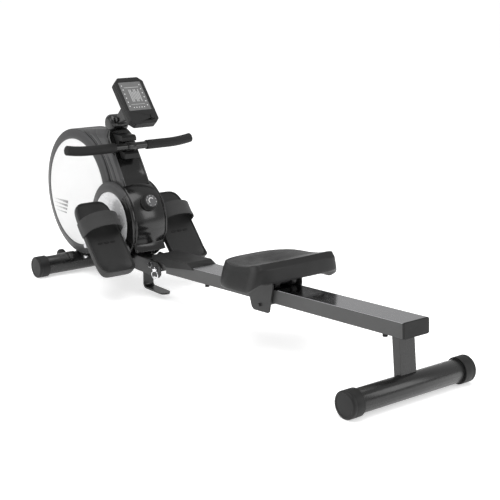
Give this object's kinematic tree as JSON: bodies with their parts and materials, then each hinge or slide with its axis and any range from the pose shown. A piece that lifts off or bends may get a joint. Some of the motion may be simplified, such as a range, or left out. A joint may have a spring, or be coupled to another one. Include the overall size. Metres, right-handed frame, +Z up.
{
  "type": "rowing machine",
  "caption": "Folding magnetic rowing machine with a rolling seat on a sloping rail, strapped foot plates, a pull handle, a disc housing and a tilting console.",
  "frame": {"origin": "on the floor, at the middle of the machine's length and width", "axes": "+X from the flywheel housing towards the rail's rear foot, +Y to the right of a rower who faces the console, +Z up"},
  "size_m": [1.84, 0.4952, 0.7141],
  "materials": {
    "satin_black_steel": "satin powder coat",
    "grey_steel": "satin powder coat",
    "rail_grey": "satin grey paint",
    "polished_steel": "polished running surface",
    "chrome": "polished",
    "bare_steel": "machined",
    "flywheel_steel": "turned",
    "magnet_nickel": "nickel plated",
    "dark_plastic": "fine texture",
    "shell_plastic": "satin",
    "gloss_black": "high gloss",
    "white_plastic": "satin gloss",
    "silver_plastic": "silver satin",
    "cap_plastic": "fine texture",
    "screen": "grey liquid-crystal panel",
    "roller_nylon": "smooth",
    "rubber": "matte",
    "foam": "matte foam",
    "webbing": "woven",
    "seat_foam": "moulded skin"
  },
  "bodies": {
    "frame": {"front_stabilizer_tube": "satin_black_steel", "front_stabilizer_caps": "cap_plastic", "stabilizer_bolts": "chrome", "wheel_brackets": "satin_black_steel", "main_frame": "grey_steel", "support_foot": "satin_black_steel", "left_housing_shell": "shell_plastic", "right_housing_shell": "shell_plastic", "disc_inlays": "white_plastic", "left_drum_cover": "shell_plastic", "right_drum_cover": "shell_plastic", "drum_inlays": "silver_plastic", "centre_cover": "gloss_black", "column_cover": "gloss_black", "column_cap": "dark_plastic", "handle_rest": "dark_plastic", "bearings": "bare_steel", "drive_belt": "rubber", "recoil_spring": "bare_steel", "inner_strap": "webbing", "pull_strap": "webbing", "pedal_axle": "bare_steel", "hinge_bolt": "chrome"},
    "left_wheel": {"left_transport_wheel": "rubber"},
    "right_wheel": {"right_transport_wheel": "rubber"},
    "knob": {"tension_knob": "dark_plastic"},
    "brake": {"brake_arm": "grey_steel", "brake_magnets": "magnet_nickel"},
    "flywheel_set": {"flywheel": "flywheel_steel", "flywheel_axle": "bare_steel"},
    "pulley_set": {"drive_pulley": "dark_plastic"},
    "handle": {"handlebar_tube": "satin_black_steel", "handlebar_grips": "foam", "strap_clip": "satin_black_steel"},
    "spool": {"strap_spool": "dark_plastic"},
    "idler": {"strap_idler": "dark_plastic"},
    "left_pedal": {"left_footplate": "dark_plastic", "left_foot_strap": "webbing"},
    "right_pedal": {"right_footplate": "dark_plastic", "right_foot_strap": "webbing"},
    "rail": {"rail_tube": "rail_grey", "rail_top_plate": "polished_steel", "rail_end_cap": "cap_plastic", "rail_cover": "cap_plastic", "rail_bumpers": "rubber", "rear_post": "satin_black_steel", "rear_stabilizer_tube": "satin_black_steel", "rear_stabilizer_caps": "cap_plastic"},
    "pin": {"lock_pin": "chrome"},
    "seat": {"seat_cushion": "seat_foam", "seat_base": "dark_plastic", "carriage_frame": "grey_steel"},
    "front_roller_set": {"front_roller": "roller_nylon"},
    "rear_roller_set": {"rear_roller": "roller_nylon"},
    "lower_roller_set": {"lower_roller": "roller_nylon"},
    "console": {"console_bracket": "satin_black_steel", "console_back": "dark_plastic", "console_front": "dark_plastic", "console_display": "screen"},
    "button": {"console_button": "dark_plastic"}
  },
  "joints": [
    {"name": "left_wheel_spin", "type": "hinge", "parent": "frame", "child": "left_wheel", "pos_m": [-0.786, -0.084, 0.046], "axis": [0, 1, 0], "continuous": true},
    {"name": "right_wheel_spin", "type": "hinge", "parent": "frame", "child": "right_wheel", "pos_m": [-0.786, 0.084, 0.046], "axis": [0, 1, 0], "continuous": true},
    {"name": "tension_dial", "type": "hinge", "parent": "frame", "child": "knob", "pos_m": [-0.453, 0, 0.2325], "axis": [0.848, 0, 0.5299], "range_deg": [0, 300]},
    {"name": "brake_swing", "type": "hinge", "parent": "frame", "child": "brake", "pos_m": [-0.571, 0, 0.401], "axis": [0, 1, 0], "range_deg": [0, 6]},
    {"name": "flywheel_spin", "type": "hinge", "parent": "frame", "child": "flywheel_set", "pos_m": [-0.697, 0, 0.295], "axis": [0, 1, 0], "continuous": true},
    {"name": "pulley_spin", "type": "hinge", "parent": "frame", "child": "pulley_set", "pos_m": [-0.453, 0, 0.2325], "axis": [0, 1, 0], "continuous": true},
    {"name": "handle_pull", "type": "slide", "parent": "frame", "child": "handle", "axis": [1, 0, 0], "range_m": [0, 0.9], "stiffness_N_per_m": 20, "springref_m": -1, "deforming": ["pull_strap"]},
    {"name": "spool_spin", "type": "hinge", "parent": "frame", "child": "spool", "pos_m": [-0.453, 0, 0.2325], "axis": [0, 1, 0], "continuous": true},
    {"name": "idler_spin", "type": "hinge", "parent": "frame", "child": "idler", "pos_m": [-0.502, 0, 0.475], "axis": [0, 1, 0], "continuous": true},
    {"name": "left_pedal_swing", "type": "hinge", "parent": "frame", "child": "left_pedal", "pos_m": [-0.403, -0.143, 0.179], "axis": [0, 1, 0], "range_deg": [-20, 20]},
    {"name": "right_pedal_swing", "type": "hinge", "parent": "frame", "child": "right_pedal", "pos_m": [-0.403, 0.143, 0.179], "axis": [0, 1, 0], "range_deg": [-20, 20]},
    {"name": "rail_fold", "type": "hinge", "parent": "frame", "child": "rail", "pos_m": [-0.245, 0, 0.123], "axis": [0, -1, 0], "range_deg": [0, 72]},
    {"name": "pin_pull", "type": "slide", "parent": "frame", "child": "pin", "axis": [0, -1, 0], "range_m": [0, 0.105]},
    {"name": "seat_slide", "type": "slide", "parent": "rail", "child": "seat", "axis": [0.998, 0, 0.0628], "range_m": [-0.26, 0.46]},
    {"name": "front_roller_spin", "type": "hinge", "parent": "seat", "child": "front_roller_set", "pos_m": [0.29104, 0, 0.19505], "axis": [0, 1, 0], "continuous": true},
    {"name": "rear_roller_spin", "type": "hinge", "parent": "seat", "child": "rear_roller_set", "pos_m": [0.37488, 0, 0.20033], "axis": [0, 1, 0], "continuous": true},
    {"name": "lower_roller_spin", "type": "hinge", "parent": "seat", "child": "lower_roller_set", "pos_m": [0.33717, 0, 0.13072], "axis": [0, 1, 0], "continuous": true},
    {"name": "console_tilt", "type": "hinge", "parent": "frame", "child": "console", "pos_m": [-0.485, 0, 0.572], "axis": [0, 1, 0], "range_deg": [-10, 20]},
    {"name": "button_press", "type": "slide", "parent": "console", "child": "button", "axis": [-0.7683, 0, -0.6401], "range_m": [0, 0.0015], "stiffness_N_per_m": 400, "springref_m": -0.0005}
  ],
  "couplings": [
    {"joint": "brake_swing", "follows": "tension_dial", "ratio": 0.02},
    {"joint": "pulley_spin", "follows": "flywheel_spin", "ratio": 0.25},
    {"joint": "spool_spin", "follows": "handle_pull", "rad_per_m": 30.3},
    {"joint": "idler_spin", "follows": "handle_pull", "rad_per_m": 90.9},
    {"joint": "front_roller_spin", "follows": "seat_slide", "rad_per_m": 71.429},
    {"joint": "rear_roller_spin", "follows": "seat_slide", "rad_per_m": 71.429},
    {"joint": "lower_roller_spin", "follows": "seat_slide", "rad_per_m": -90.909}
  ]
}
